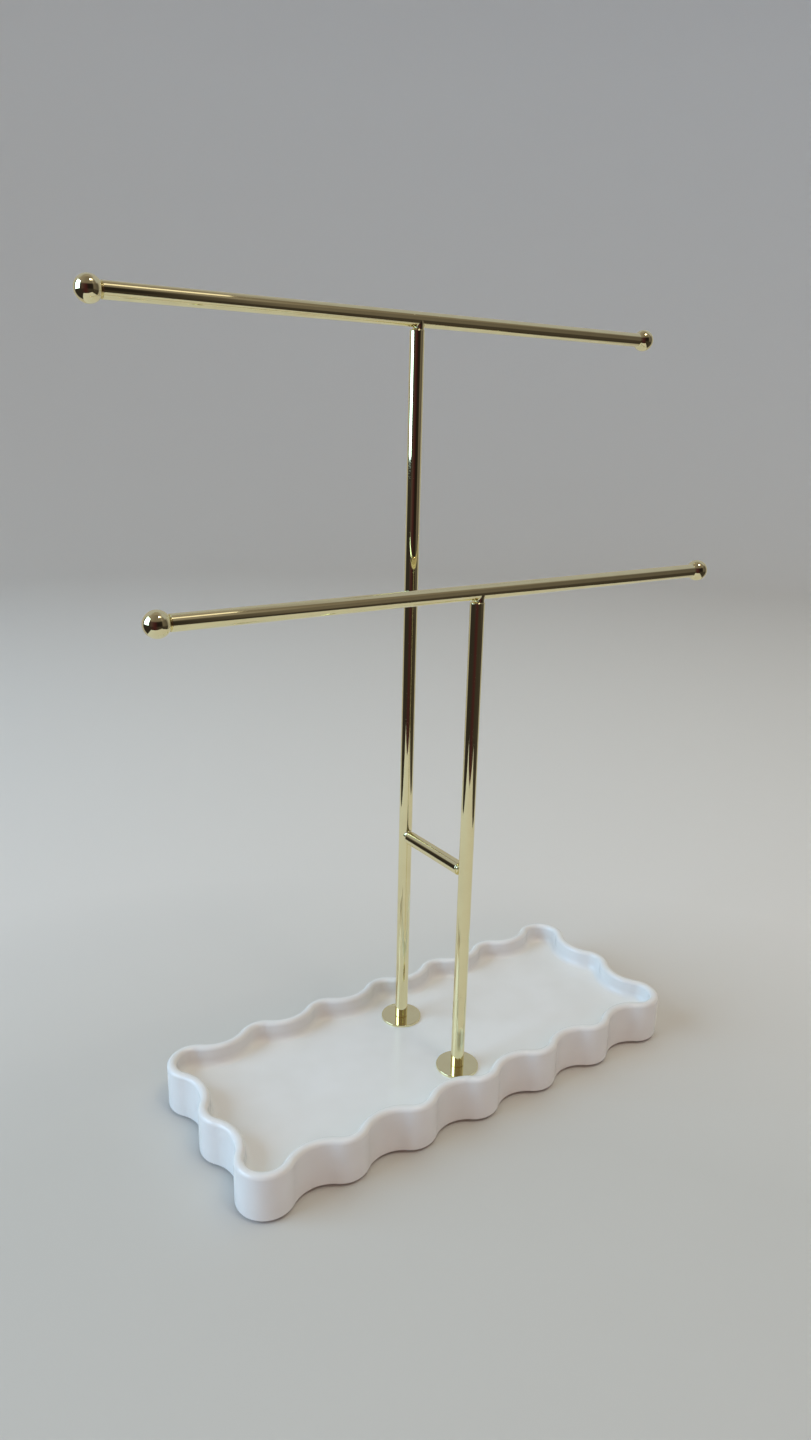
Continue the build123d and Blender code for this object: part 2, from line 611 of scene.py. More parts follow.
@dataclass(frozen=True)
class Zinc(Finish):
    """Bright zinc on small steel fixings, with turning marks and a faint blue cast."""

    tone: Colour = (0.62, 0.64, 0.67)
    dull_tone: Colour = (0.50, 0.50, 0.50)
    roughness: Span = (0.24, 0.4)
    mottle_scale: float = 700.0
    mark_scale: float = 900.0
    mark_squeeze: Point = (1.0, 1.0, 8.0)
    mark_depth: float = 0.01 * MM
    slot = Slot.ZINC

    def material(self) -> Material:
        """Make the material.

        Returns:
            Metal with a mottled tone and fine marks.
        """
        sheet = NodeSheet("bright_zinc")
        mottle = sheet.noise(sheet.place, self.mottle_scale)
        marks = sheet.noise(sheet.stretched(Vector(self.mark_squeeze)), self.mark_scale, detail=2.0)
        sheet.set(metallic=1.0)
        sheet.tint(mottle, self.dull_tone, self.tone)
        sheet.roughen(mottle, self.roughness)
        sheet.feed("Normal", sheet.relief(marks, self.mark_depth))
        return sheet.material


@dataclass(frozen=True)
class Silicone(Finish):
    """Milky silicone of the pads, with a fine moulded tooth."""

    tone: Colour = (0.62, 0.62, 0.60)
    dusty_tone: Colour = (0.52, 0.51, 0.49)
    roughness: Span = (0.45, 0.62)
    dust_scale: float = 300.0
    tooth_scale: float = 2500.0
    tooth_depth: float = 0.02 * MM
    slot = Slot.RUBBER

    def material(self) -> Material:
        """Make the material.

        Returns:
            Dull milky rubber.
        """
        sheet = NodeSheet("milky_silicone")
        dust = sheet.noise(sheet.place, self.dust_scale)
        tooth = sheet.noise(sheet.place, self.tooth_scale, detail=2.0)
        sheet.set(specular_ior_level=0.4)
        sheet.tint(dust, self.dusty_tone, self.tone)
        sheet.roughen(tooth, self.roughness)
        sheet.feed("Normal", sheet.relief(tooth, self.tooth_depth))
        return sheet.material


class SubAssembly(ABC):
    """A group of pieces that is made together."""

    @abstractmethod
    def build(self) -> list[Object]:
        """Make, place and dress the pieces."""


@dataclass
class ScallopedDish(SubAssembly):
    """White dish: tangent scallops and hollows round a flat floor, with a screw pocket below each post."""

    pitch: float = 28.5 * MM
    scallops_long: int = 7
    scallops_short: int = 3
    scallop_radius: float = 10.2 * MM
    hollow_radius: float = 13.0 * MM
    wall: float = 3.5 * MM
    depth: float = 7.5 * MM
    rim_round: float = 1.55 * MM
    floor_round: float = 2.6 * MM
    foot_round: float = 1.0 * MM
    hole_radius: float = 2.0 * MM
    pocket_radius: float = 5.1 * MM
    pocket_depth: float = 5.0 * MM
    pocket_bevel: float = 0.5 * MM
    spare: float = 1.0 * MM
    arc_step: float = 0.7 * MM
    join_share: float = 0.1

    def arc(self, centre: Vector, radius: float, degrees: float) -> None:
        """Sweep the last point of the outline about a scallop's or a hollow's centre.

        Args:
            centre: Centre of the arc.
            radius: Radius of the arc.
            degrees: Angle of the arc, positive anticlockwise.
        """
        steps = round(radius * math.radians(abs(degrees)) / self.arc_step)
        Bench.sweep(centre, Vector((0.0, 0.0, 1.0)), degrees, steps)

    def outline(self, name: str, bottom: float) -> Object:
        """Draw the outer edge as one chain of arcs, scallop and hollow in turn, and fill it.

        Args:
            name: Name of the piece.
            bottom: Height of the outline.

        Returns:
            The piece, open in edit mode with its one face selected.
        """
        reach = self.scallop_radius + self.hollow_radius
        half_pitch = self.pitch / 2
        lift = math.sqrt(reach**2 - half_pitch**2)
        bend = math.degrees(math.asin(half_pitch / reach))
        left = -half_pitch * (self.scallops_long - 1)
        front = -half_pitch * (self.scallops_short - 1)
        centre = Vector((left, front, bottom))
        piece = Bench.new_point(name, centre + polar(self.scallop_radius, 2 * QUARTER - bend))
        for side, count in enumerate((self.scallops_long, self.scallops_short) * 2):
            heading = side * QUARTER
            stride = polar(self.pitch, heading)
            hollow = stride / 2 + polar(lift, heading - QUARTER)
            for corner in [True] + [False] * (count - 2):
                self.arc(centre, self.scallop_radius, 2 * bend + corner * QUARTER)
                self.arc(centre + hollow, self.hollow_radius, -2 * bend)
                centre = centre + stride
        bpy.ops.mesh.select_all(action="SELECT")
        bpy.ops.mesh.remove_doubles(threshold=self.join_share * self.arc_step)
        bpy.ops.mesh.edge_face_add()
        return piece

    def bevel_corners(self, piece: Object, height: float, width: float) -> None:
        """Round the sharp edges at one height.

        Args:
            piece: The dish, open in edit mode.
            height: Where the edges lie.
            width: Radius of the round.
        """

        def sharp(edge: bmesh.types.BMEdge) -> bool:
            """Whether an edge is a corner at the height."""
            level = all(abs(end.co.z - height) < MERGE_DISTANCE for end in edge.verts)
            return level and edge.calc_face_angle(0.0) > SMOOTH_ANGLE

        Bench.pick_edges(piece, sharp)
        bpy.ops.mesh.bevel(offset=width, segments=ARC_STEPS, profile=0.5, affect="EDGES")

    def shell(self, name: str) -> Object:
        """Raise the outline to a dish with rounded rim, floor and foot.

        Args:
            name: Name of the piece.

        Returns:
            The dish without its pockets.
        """
        low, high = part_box("tray")
        piece = self.outline(name, low.z)
        bpy.ops.mesh.extrude_region_move(TRANSFORM_OT_translate={"value": (0, 0, high.z - low.z)})
        bpy.ops.mesh.inset(thickness=self.wall, depth=0)
        bpy.ops.mesh.extrude_region_move(TRANSFORM_OT_translate={"value": (0, 0, -self.depth)})
        bpy.ops.mesh.select_all(action="SELECT")
        bpy.ops.mesh.normals_make_consistent(inside=False)
        self.bevel_corners(piece, high.z - self.depth, self.floor_round)
        self.bevel_corners(piece, high.z, self.rim_round)
        self.bevel_corners(piece, low.z, self.foot_round)
        return Bench.close(piece)

    def pocket_tool(self, end: End) -> Object:
        """Cutter for a screw's hole, its pocket and the pocket's bevelled mouth.

        Args:
            end: The holder that the screw holds.

        Returns:
            The cutter, in place.
        """
        low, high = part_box("tray")
        mouth = self.pocket_radius + self.pocket_bevel + self.spare
        roof = low.z + self.pocket_depth
        top = high.z - self.depth + self.spare
        tool = (
            Lathe(f"{end.value}_pocket_tool", 0.0, low.z - self.spare)
            .to(mouth, low.z - self.spare)
            .to(self.pocket_radius, low.z + self.pocket_bevel)
            .to(self.pocket_radius, roof)
            .to(self.hole_radius, roof)
            .to(self.hole_radius, top)
            .to(0.0, top)
            .turn()
        )
        return Bench.place(tool, standing(f"{end.value}_post", 0.0))

    def build(self) -> list[Object]:
        """Make and dress the dish.

        Returns:
            The dish, as the only piece.
        """
        dish = self.shell("scalloped_dish")
        for end in End:
            Bench.cut(dish, self.pocket_tool(end))
        return [Bench.dress(dish, Glaze(), "tray")]


@dataclass
class RodFrame(SubAssembly):
    """Posts, bars and tie, all cut from one polished rod."""

    radius: float = 2.5 * MM
    post_end_round: float = 0.45 * MM
    tie_end_round: float = 0.35 * MM
    edge_break: float = 0.25 * MM
    edge_steps: int = 4
    tapped_radius: float = 1.55 * MM
    tapped_depth: float = 10.0 * MM
    bore_radius: float = 1.53 * MM
    bore_depth: float = 6.5 * MM

    def post(self, end: End) -> Object:
        """Upright rod with a tapped foot and a rounded top.

        Args:
            end: The holder that it carries.

        Returns:
            The dressed post.
        """
        node = f"{end.value}_post"
        low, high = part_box(node)
        length = high.z - low.z
        post = (
            Lathe(f"{end.value}_upright", 0.0, self.tapped_depth)
            .to(self.tapped_radius, self.tapped_depth)
            .to(self.tapped_radius, 0.0)
            .to(self.radius - self.edge_break, 0.0)
            .to(self.radius, self.edge_break)
            .to(self.radius, length - self.post_end_round)
            .round(self.radius - self.post_end_round, length - self.post_end_round, QUARTER)
            .to(0.0, length)
            .turn()
        )
        Bench.place(post, standing(node, low.z))
        return Bench.dress(post, GoldPlate(Grain.ALONG_Z), node)

    def bar(self, end: End) -> Object:
        """Horizontal rod with a bore in each end.

        Args:
            end: The holder that it tops.

        Returns:
            The dressed bar.
        """
        node = f"{end.value}_bar"
        low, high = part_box(node)
        length = high.x - low.x
        bar = (
            Lathe(f"{end.value}_hanger_bar", 0.0, self.bore_depth)
            .to(self.bore_radius, self.bore_depth)
            .to(self.bore_radius, 0.0)
            .to(self.radius - self.edge_break, 0.0)
            .round(self.radius - self.edge_break, self.edge_break, QUARTER, self.edge_steps)
            .to(self.radius, length - self.edge_break)
            .round(self.radius - self.edge_break, length - self.edge_break, QUARTER, self.edge_steps)
            .to(self.bore_radius, length)
            .to(self.bore_radius, length - self.bore_depth)
            .to(0.0, length - self.bore_depth)
            .turn()
        )
        spot = middle(node)
        move = Matrix.Translation((low.x, spot.y, spot.z)) @ Matrix.Rotation(math.pi / 2, 4, "Y")
        Bench.place(bar, move)
        return Bench.dress(bar, GoldPlate(Grain.ALONG_X), node)

    def tie(self) -> Object:
        """Short rod between the posts with two rounded ends.

        Returns:
            The dressed tie.
        """
        node = "cross_strut"
        low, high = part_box(node)
        length = high.y - low.y
        tie = (
            Lathe("tie_rod", 0.0, 0.0)
            .to(self.radius - self.tie_end_round, 0.0)
            .round(self.radius - self.tie_end_round, self.tie_end_round, QUARTER)
            .to(self.radius, length - self.tie_end_round)
            .round(self.radius - self.tie_end_round, length - self.tie_end_round, QUARTER)
            .to(0.0, length)
            .turn()
        )
        spot = middle(node)
        move = Matrix.Translation((spot.x, low.y, spot.z)) @ Matrix.Rotation(-math.pi / 2, 4, "X")
        Bench.place(tie, move)
        return Bench.dress(tie, GoldPlate(Grain.ALONG_Y), node)

    def build(self) -> list[Object]:
        """Make and dress the rods.

        Returns:
            The posts, the bars and the tie.
        """
        uprights = [self.post(end) for end in End]
        bars = [self.bar(end) for end in End]
        return uprights + bars + [self.tie()]


@dataclass(frozen=True)
class WeldShape:
    """Half sizes of a weld along and across the crossing rod, from its foot by its waist to its tip."""

    foot: Pair
    waist: Pair
    tip: Pair
    foot_lean: float
    lean: float = 0.4 * MM


@dataclass
class WeldFillets(SubAssembly):
    """Waisted welds between a rod's end and the rod that it meets, drawn to one side along that rod."""

    tee: WeldShape = WeldShape(
        foot=(2.05 * MM, 2.38 * MM),
        waist=(1.45 * MM, 2.42 * MM),
        tip=(2.2 * MM, 2.47 * MM),
        foot_lean=0.25 * MM,
    )
    tie: WeldShape = WeldShape(
        foot=(2.15 * MM, 2.15 * MM),
        waist=(1.8 * MM, 1.8 * MM),
        tip=(2.7 * MM, 2.1 * MM),
        foot_lean=0.0,
    )
    rod_radius: float = 2.5 * MM
    gap: float = 0.65 * MM
    waist_share: float = 0.4
    run_out: float = 0.6 * MM
    foot_sink: float = 0.2 * MM
    tip_sink: float = 0.04 * MM
    sides: int = 72
    rings: int = 14

    def surface_point(self, shape: WeldShape, azimuth: float, share: float) -> Vector:
        """A point of the weld, on a curve from the end face to the side of the crossing rod.

        Args:
            shape: Half sizes of the weld.
            azimuth: Angle about the weld's axis from the crossing rod's direction.
            share: How far along the curve, from 0 at the end face to 1 at the crossing rod.

        Returns:
            The point, with the end face on the origin's plane and the crossing rod along X above it.
        """

        def out(half: Pair, lean: float, height: float) -> Vector:
            """The azimuth's point on an oval."""
            return Vector((lean + half[0] * math.cos(azimuth), half[1] * math.sin(azimuth), height))

        tip = out(shape.tip, shape.lean, 0.0)
        drop = math.sqrt(self.rod_radius**2 - tip.y**2)
        tip.z = self.gap + self.rod_radius - drop + self.tip_sink
        along_rod = Vector(((tip.x - shape.lean) * drop, tip.y * drop, tip.y**2)).normalized()
        start = out(shape.foot, shape.foot_lean, -self.foot_sink)
        start_pull = out(shape.waist, shape.lean, self.waist_share * self.gap)
        tip_pull = tip - along_rod * self.run_out
        rest = 1 - share
        weights = (rest**3, 3 * rest**2 * share, 3 * rest * share**2, share**3)
        return sum((point * w for point, w in zip((start, start_pull, tip_pull, tip), weights)), Vector())

    def model(self, name: str, shape: WeldShape) -> Object:
        """Draw the weld up from its foot, ring by ring.

        Args:
            name: Name of the piece.
            shape: Half sizes of the weld.

        Returns:
            The weld on an end face at the origin.
        """
        Bench.clear()
        bpy.ops.mesh.primitive_circle_add(vertices=self.sides, radius=self.rod_radius, fill_type="NGON")
        piece = bpy.context.object
        piece.name = name
        bpy.ops.object.mode_set(mode="EDIT")
        self.shape_ring(piece, shape, 0.0)
        for ring in range(1, self.rings + 1):
            rise = (0, 0, self.gap / self.rings)
            bpy.ops.mesh.extrude_region_move(TRANSFORM_OT_translate={"value": rise})
            self.shape_ring(piece, shape, ring / self.rings)
        return Bench.close(piece)

    def shape_ring(self, piece: Object, shape: WeldShape, share: float) -> None:
        """Move the selected ring to its place on the weld.

        Args:
            piece: The weld, open in edit mode.
            shape: Half sizes of the weld.
            share: Which ring, from 0 at the foot to 1 at the crossing rod.
        """
        mesh = bmesh.from_edit_mesh(piece.data)
        for vert in mesh.verts:
            if vert.select:
                vert.co = self.surface_point(shape, vert.index * FULL_TURN / self.sides, share)
        bmesh.update_edit_mesh(piece.data)

    def build(self) -> list[Object]:
        """Make one weld for the tees and one for the tie, and copy them to their joints.

        Returns:
            The four welds.
        """
        tee_master = self.model("tee_master", self.tee)
        tie_master = self.model("tie_master", self.tie)
        welds = []
        low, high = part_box("cross_strut")
        for end, reach in ((End.FRONT, low.y), (End.REAR, high.y)):
            post = f"{end.value}_post"
            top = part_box(post)[1].z
            tee = Bench.copy(tee_master, f"{end.value}_tee_fillet", standing(post, top))
            welds.append(Bench.dress(tee, GoldPlate(Grain.EVEN), f"{end.value}_tee_weld"))
            toward = math.copysign(1.0, reach)
            axes = Matrix(((0, toward, 0), (0, 0, toward), (1, 0, 0))).to_4x4()
            move = Matrix.Translation((middle(post).x, reach, middle("cross_strut").z)) @ axes
            joint = Bench.copy(tie_master, f"tie_{end.value}_fillet", move)
            welds.append(Bench.dress(joint, GoldPlate(Grain.EVEN), f"strut_{end.value}_weld"))
        bpy.data.objects.remove(tee_master)
        bpy.data.objects.remove(tie_master)
        return welds


@dataclass
class Knobs(SubAssembly):
    """Ball on a narrow neck at each end of the bars, with the spigot that holds it."""

    ball_radius: float = 3.9 * MM
    neck_radius: float = 2.1 * MM
    neck_length: float = 0.15 * MM
    spigot_radius: float = 1.5 * MM
    spigot_length: float = 6.0 * MM
    spigot_bevel: float = 0.3 * MM
    ball_steps: int = 48

    def model(self, name: str) -> Object:
        """Turn a knob along +Z, with the bar's end face on the origin's plane.

        Args:
            name: Name of the piece.

        Returns:
            The knob.
        """
        rise = math.sqrt(self.ball_radius**2 - self.neck_radius**2)
        centre = self.neck_length + rise
        sweep = QUARTER + math.degrees(math.atan2(rise, self.neck_radius))
        return (
            Lathe(name, 0.0, -self.spigot_length)
            .to(self.spigot_radius - self.spigot_bevel, -self.spigot_length)
            .to(self.spigot_radius, self.spigot_bevel - self.spigot_length)
            .to(self.spigot_radius, 0.0)
            .to(self.neck_radius, 0.0)
            .to(self.neck_radius, self.neck_length)
            .round(0.0, centre, sweep, self.ball_steps)
            .turn()
        )

    def build(self) -> list[Object]:
        """Make one knob and copy it to all the bars' ends.

        Returns:
            The four knobs.
        """
        master = self.model("knob_master")
        knobs = []
        for end in End:
            bar = f"{end.value}_bar"
            spot = middle(bar)
            low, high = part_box(bar)
            for side, x in ((Side.LEFT, low.x), (Side.RIGHT, high.x)):
                turn = Matrix.Rotation(side.value * math.pi / 2, 4, "Y")
                move = Matrix.Translation((x, spot.y, spot.z)) @ turn
                knob = Bench.copy(master, f"{end.value}_{side.word}_knob", move)
                knobs.append(Bench.dress(knob, GoldPlate(Grain.EVEN), f"{end.value}_{side.word}_ball"))
        bpy.data.objects.remove(master)
        return knobs


@dataclass
class BaseDiscs(SubAssembly):
    """Thin polished disc under each post."""

    radius: float = 8.0 * MM
    hole_radius: float = 1.65 * MM
    edge_round: float = 0.15 * MM
    edge_steps: int = 6
    sides: int = 128

    def model(self, name: str, thickness: float) -> Object:
        """Turn a disc on the origin's plane.

        Args:
            name: Name of the piece.
            thickness: Height of the disc.

        Returns:
            The disc.
        """
        return (
            Lathe(name, self.hole_radius, 0.0)
            .to(self.radius, 0.0)
            .to(self.radius, thickness - self.edge_round)
            .round(self.radius - self.edge_round, thickness - self.edge_round, QUARTER, self.edge_steps)
            .to(self.hole_radius, thickness)
            .back()
            .turn(self.sides)
        )

    def build(self) -> list[Object]:
        """Make one disc and copy it under both posts.

        Returns:
            The two discs.
        """
        low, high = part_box("front_flange")
        master = self.model("disc_master", high.z - low.z)
        discs = []
        for end in End:
            node = f"{end.value}_flange"
            disc = Bench.copy(master, f"{end.value}_base_disc", standing(node, low.z))
            discs.append(Bench.dress(disc, GoldPlate(Grain.ALONG_X), node))
        bpy.data.objects.remove(master)
        return discs


@dataclass
class Fixings(SubAssembly):
    """Pan-head screw and washer below each post, up in the dish's pockets."""

    head_radius: float = 2.8 * MM
    head_height: float = 2.2 * MM
    head_round: float = 0.8 * MM
    shank_radius: float = 1.5 * MM
    tip_bevel: float = 0.4 * MM
    screw_sides: int = 48
    slot_length: float = 3.0 * MM
    slot_width: float = 0.8 * MM
    slot_depth: float = 1.1 * MM
    slot_taper: float = 0.55
    washer_radius: float = 4.5 * MM
    washer_hole: float = 1.65 * MM
    washer_round: float = 0.12 * MM
    washer_steps: int = 4
    washer_sides: int = 64

    def screw(self, name: str, length: float) -> Object:
        """Turn a screw with its head down and the head's upper face on the origin's plane.

        Args:
            name: Name of the piece.
            length: Length under the head.

        Returns:
            The screw with a cross recess in its head.
        """
        screw = (
            Lathe(name, 0.0, -self.head_height)
            .to(self.head_radius - self.head_round, -self.head_height)
            .round(self.head_radius - self.head_round, self.head_round - self.head_height, QUARTER)
            .to(self.head_radius, 0.0)
            .to(self.shank_radius, 0.0)
            .to(self.shank_radius, length - self.tip_bevel)
            .to(self.shank_radius - self.tip_bevel, length)
            .to(0.0, length)
            .turn(self.screw_sides)
        )
        for degrees in (0.0, QUARTER):
            Bench.cut(screw, self.recess_tool(degrees))
        return screw

    def recess_tool(self, degrees: float) -> Object:
        """One arm pair of the cross recess, narrower at its bottom.

        Args:
            degrees: Which way the arms point.

        Returns:
            The cutter, at the head's lower face.
        """
        Bench.clear()
        bpy.ops.mesh.primitive_plane_add(size=1.0)
        tool = bpy.context.object
        tool.name = "recess_tool"
        bpy.ops.object.mode_set(mode="EDIT")
        bpy.ops.transform.resize(value=(self.slot_length, self.slot_width, 1.0))
        bpy.ops.transform.translate(value=(0, 0, -self.slot_depth))
        bpy.ops.mesh.extrude_region_move(TRANSFORM_OT_translate={"value": (0, 0, 2 * self.slot_depth)})
        bpy.ops.transform.resize(value=(self.slot_taper, self.slot_taper, 1.0))
        Bench.close(tool)
        turn = Matrix.Rotation(math.radians(degrees), 4, "Z")
        return Bench.place(tool, Matrix.Translation((0, 0, -self.head_height)) @ turn)

    def washer(self, name: str, thickness: float) -> Object:
        """Turn a washer with broken edges on the origin's plane.

        Args:
            name: Name of the piece.
            thickness: Height of the washer.

        Returns:
            The washer.
        """
        edge = self.washer_radius - self.washer_round
        return (
            Lathe(name, self.washer_hole, 0.0)
            .to(edge, 0.0)
            .round(edge, self.washer_round, QUARTER, self.washer_steps)
            .to(self.washer_radius, thickness - self.washer_round)
            .round(edge, thickness - self.washer_round, QUARTER, self.washer_steps)
            .to(self.washer_hole, thickness)
            .back()
            .turn(self.washer_sides)
        )

    def build(self) -> list[Object]:
        """Make one screw and one washer and copy them below both posts.

        Returns:
            The two screws and the two washers.
        """
        low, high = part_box("front_washer")
        screw_master = self.screw("screw_master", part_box("front_screw")[1].z - low.z)
        washer_master = self.washer("washer_master", high.z - low.z)
        fixings = []
        for end in End:
            move = standing(f"{end.value}_washer", low.z)
            for master, kind in ((screw_master, "screw"), (washer_master, "washer")):
                piece = Bench.copy(master, f"{end.value}_fixing_{kind}", move)
                fixings.append(Bench.dress(piece, Zinc(), f"{end.value}_{kind}"))
        bpy.data.objects.remove(screw_master)
        bpy.data.objects.remove(washer_master)
        return fixings


@dataclass
class FootPads(SubAssembly):
    """Round pads under the corner scallops."""

    radius: float = 5.0 * MM
    lower_round: float = 0.2 * MM
    round_steps: int = 5
    sides: int = 64

    def model(self, name: str, thickness: float) -> Object:
        """Turn a pad on the origin's plane.

        Args:
            name: Name of the piece.
            thickness: Height of the pad.

        Returns:
            The pad.
        """
        return (
            Lathe(name, 0.0, 0.0)
            .to(self.radius - self.lower_round, 0.0)
            .round(self.radius - self.lower_round, self.lower_round, QUARTER, self.round_steps)
            .to(self.radius, thickness)
            .to(0.0, thickness)
            .turn(self.sides)
        )

    def build(self) -> list[Object]:
        """Make one pad and copy it under all the corners.

        Returns:
            The four pads.
        """
        low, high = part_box("front_left_pad")
        master = self.model("pad_master", high.z - low.z)
        pads = []
        for end in End:
            for side in Side:
                node = f"{end.value}_{side.word}_pad"
                pad = Bench.copy(master, f"{end.value}_{side.word}_foot_pad", standing(node, low.z))
                pads.append(Bench.dress(pad, Silicone(), node))
        bpy.data.objects.remove(master)
        return pads


@dataclass(frozen=True)
class Backdrop:
    """Plain pale surface that the stand stands on, painted paler away from the camera: painted light that
    brightens the far backdrop.

    Both fades are distances from the point below the camera.
    """

    camera_place: Point
    near_tone: Colour = (0.60, 0.588, 0.557)
    far_painted_light_tone: Colour = (0.76, 0.735, 0.705)
    fade_start: float = 0.29
    fade_stop: float = 0.49

    def material(self) -> Material:
        """Make the material.

        Returns:
            Matt pale surface.
        """
        sheet = NodeSheet("pale_backdrop")
        below_camera = Vector((self.camera_place[0], self.camera_place[1], 0.0))
        ball = sheet.node("ShaderNodeTexGradient", sheet.shifted(-below_camera))
        ball.gradient_type = "SPHERICAL"
        fade = (1.0 - self.fade_start, 1.0 - self.fade_stop)
        sheet.set(roughness=0.9, specular_ior_level=0.1)
        # Painted light: the far tone is paler, so the surface away from the camera looks more brightly lit.
        sheet.tint(ball.outputs["Fac"], self.near_tone, self.far_painted_light_tone, fade)
        return sheet.material


@dataclass(frozen=True)
class SoftBox:
    """A rectangular soft light, aimed at a point."""

    name: str
    place: Point
    size: Pair
    brightness: float
    colour: Colour
    aim: Point = (0.0, 0.0, 0.12)
    shows_in_gloss: bool = True

    def build(self) -> None:
        """Hang the light; its power follows from its brightness and its area."""
        toward = Vector(self.aim) - Vector(self.place)
        turn = toward.to_track_quat("-Z", "Y").to_euler()
        bpy.ops.object.light_add(type="AREA", location=self.place, rotation=turn)
        lamp = bpy.context.object
        lamp.name = self.name
        light: Light = lamp.data
        light.shape = "RECTANGLE"
        light.size, light.size_y = self.size
        light.energy = self.brightness * math.pi * self.size[0] * self.size[1]
        light.color = self.colour
        lamp.visible_camera = False
        lamp.visible_glossy = self.shows_in_gloss


@dataclass
class Room:
    """Surroundings that the rods mirror: pale beyond the stand, dim behind the camera, grey overhead.

    Bearings are degrees from the direction of the camera, positive on the picture's right. Bands of height
    are sines of the angle above the horizon.
    """

    camera_heading: float
    pale: Colour = (0.44, 0.43, 0.408)
    sky: Colour = (0.42, 0.433, 0.475)
    warm: Colour = (0.31, 0.28, 0.26)
    dim: Colour = (0.19, 0.165, 0.145)
    gleam: Colour = (0.15, 0.13, 0.115)
    grey: Colour = (0.09, 0.08, 0.075)
    dusk: Colour = (0.075, 0.05, 0.05)
    brown: Colour = (0.055, 0.016, 0.02)
    soft_shade: Colour = (0.055, 0.046, 0.04)
    shade: Colour = (0.042, 0.036, 0.031)
    dark: Colour = (0.03, 0.026, 0.025)
    deep_shade: Colour = (0.02, 0.016, 0.014)
    deep_brown: Colour = (0.016, 0.011, 0.011)
    floor_band: Span = (-0.2, -0.1)
    ceiling_band: Span = (0.42, 0.58)
    zenith_band: Span = (0.84, 0.92)

    def __post_init__(self) -> None:
        """Start the world with the bearing and the height of each direction."""
        self.world = bpy.data.worlds.new("dim_room")
        self.world.use_nodes = True
        self.nodes = self.world.node_tree.nodes
        self.links = self.world.node_tree.links
        direction = self.nodes.new("ShaderNodeTexCoord").outputs["Generated"]
        parts = self.nodes.new("ShaderNodeSeparateXYZ")
        self.links.new(direction, parts.inputs["Vector"])
        self.height = parts.outputs["Z"]
        turned = self.nodes.new("ShaderNodeMapping")
        self.links.new(direction, turned.inputs["Vector"])
        turned.inputs["Rotation"].default_value[2] = -math.radians(self.camera_heading - QUARTER)
        compass = self.nodes.new("ShaderNodeTexGradient")
        compass.gradient_type = "RADIAL"
        self.links.new(turned.outputs["Vector"], compass.inputs["Vector"])
        self.bearing = compass.outputs["Fac"]

    def ring(self, stops: dict[float, Colour]) -> NodeSocket:
        """Lay colours round the horizon.

        Args:
            stops: The colour at each bearing, from left to right.

        Returns:
            The background.
        """
        ramp = self.nodes.new("ShaderNodeValToRGB")
        self.links.new(self.bearing, ramp.inputs["Fac"])
        elements = ramp.color_ramp.elements
        while len(elements) < len(stops):
            elements.new(1.0)
        for element, (degrees, colour) in zip(elements, stops.items()):
            element.position = 0.5 + degrees / (4 * QUARTER)
            element.color = (*colour, 1.0)
        node = self.nodes.new("ShaderNodeBackground")
        self.links.new(ramp.outputs["Color"], node.inputs["Color"])
        return node.outputs["Background"]

    def over(self, lower: NodeSocket, upper: NodeSocket, band: Span) -> NodeSocket:
        """Put one background above another.

        Args:
            lower: The background below the band.
            upper: The background above the band.
            band: The heights between which one goes over into the other.

        Returns:
            The background of both.
        """
        share = self.nodes.new("ShaderNodeMapRange")
        self.links.new(self.height, share.inputs["Value"])
        for name, limit in zip(("From Min", "From Max"), band):
            share.inputs[name].default_value = limit
        mix = self.nodes.new("ShaderNodeMixShader")
        for socket, source in enumerate((share.outputs["Result"], lower, upper)):
            self.links.new(source, mix.inputs[socket])
        return mix.outputs["Shader"]

    def build(self) -> None:
        """Lay the four rings on one another, from below the table to overhead, and use the world."""
        below = {
            -115: self.pale,
            -105: self.dark,
            -40: self.dark,
            0: self.brown,
            30: self.shade,
            62: self.shade,
            80: self.soft_shade,
            106: self.shade,
            117: self.pale,
        }
        level = {
            -112: self.pale,
            -104: self.dark,
            -45: self.dark,
            -30: self.dusk,
            0: self.brown,
            22: self.deep_brown,
            55: self.deep_shade,
            64: self.gleam,
            100: self.grey,
            122: self.pale,
        }
        ceiling = {
            -108: self.sky,
            -90: self.warm,
            0: self.dim,
            55: self.dim,
            65: self.warm,
            75: self.dim,
            90: self.dim,
            103: self.sky,
        }
        zenith = {-120: self.warm, 0: self.dim, 90: self.dim, 120: self.warm}
        whole = self.ring(below)
        bands = (self.floor_band, self.ceiling_band, self.zenith_band)
        for stops, band in zip((level, ceiling, zenith), bands):
            whole = self.over(whole, self.ring(stops), band)
        output = next(node for node in self.nodes if node.type == "OUTPUT_WORLD")
        self.links.new(whole, output.inputs["Surface"])
        bpy.context.scene.world = self.world


